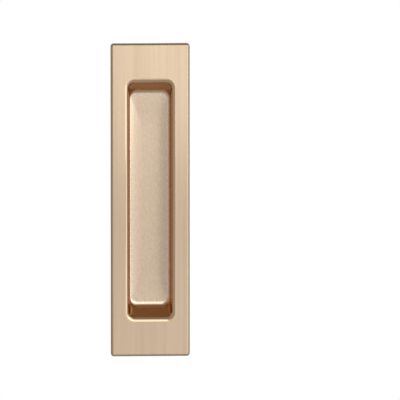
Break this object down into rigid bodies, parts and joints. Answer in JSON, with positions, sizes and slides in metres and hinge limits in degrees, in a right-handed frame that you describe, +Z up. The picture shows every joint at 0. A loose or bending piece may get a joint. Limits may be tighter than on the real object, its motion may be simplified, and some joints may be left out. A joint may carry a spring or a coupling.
{
  "type": "sliding door flush pull",
  "caption": "Rectangular flush pull for a sliding door: brushed copper-toned plate with a sunk finger cup, clipped over a screwed frame",
  "frame": {"origin": "middle of the pull, on the plane of the door's face, which is the middle of the four fixing screws", "axes": "+X to the right as seen from the room, +Y into the door, +Z up along the pull"},
  "size_m": [0.04, 0.0173, 0.16],
  "materials": {
    "copper_finish": "brushed along its length, pale copper tone, clear lacquer; satin with a fine grain in the cup",
    "frame_nylon": "moulded black nylon, fine matt texture",
    "screw_steel": "bright zinc plated",
    "spring_steel": "rolled stainless strip"
  },
  "bodies": {
    "root": {"face_cover": "copper_finish", "mounting_frame": "frame_nylon", "fixing_screws": "screw_steel", "clip_upper_left": "spring_steel", "clip_upper_right": "spring_steel", "clip_lower_left": "spring_steel", "clip_lower_right": "spring_steel"}
  },
  "joints": []
}
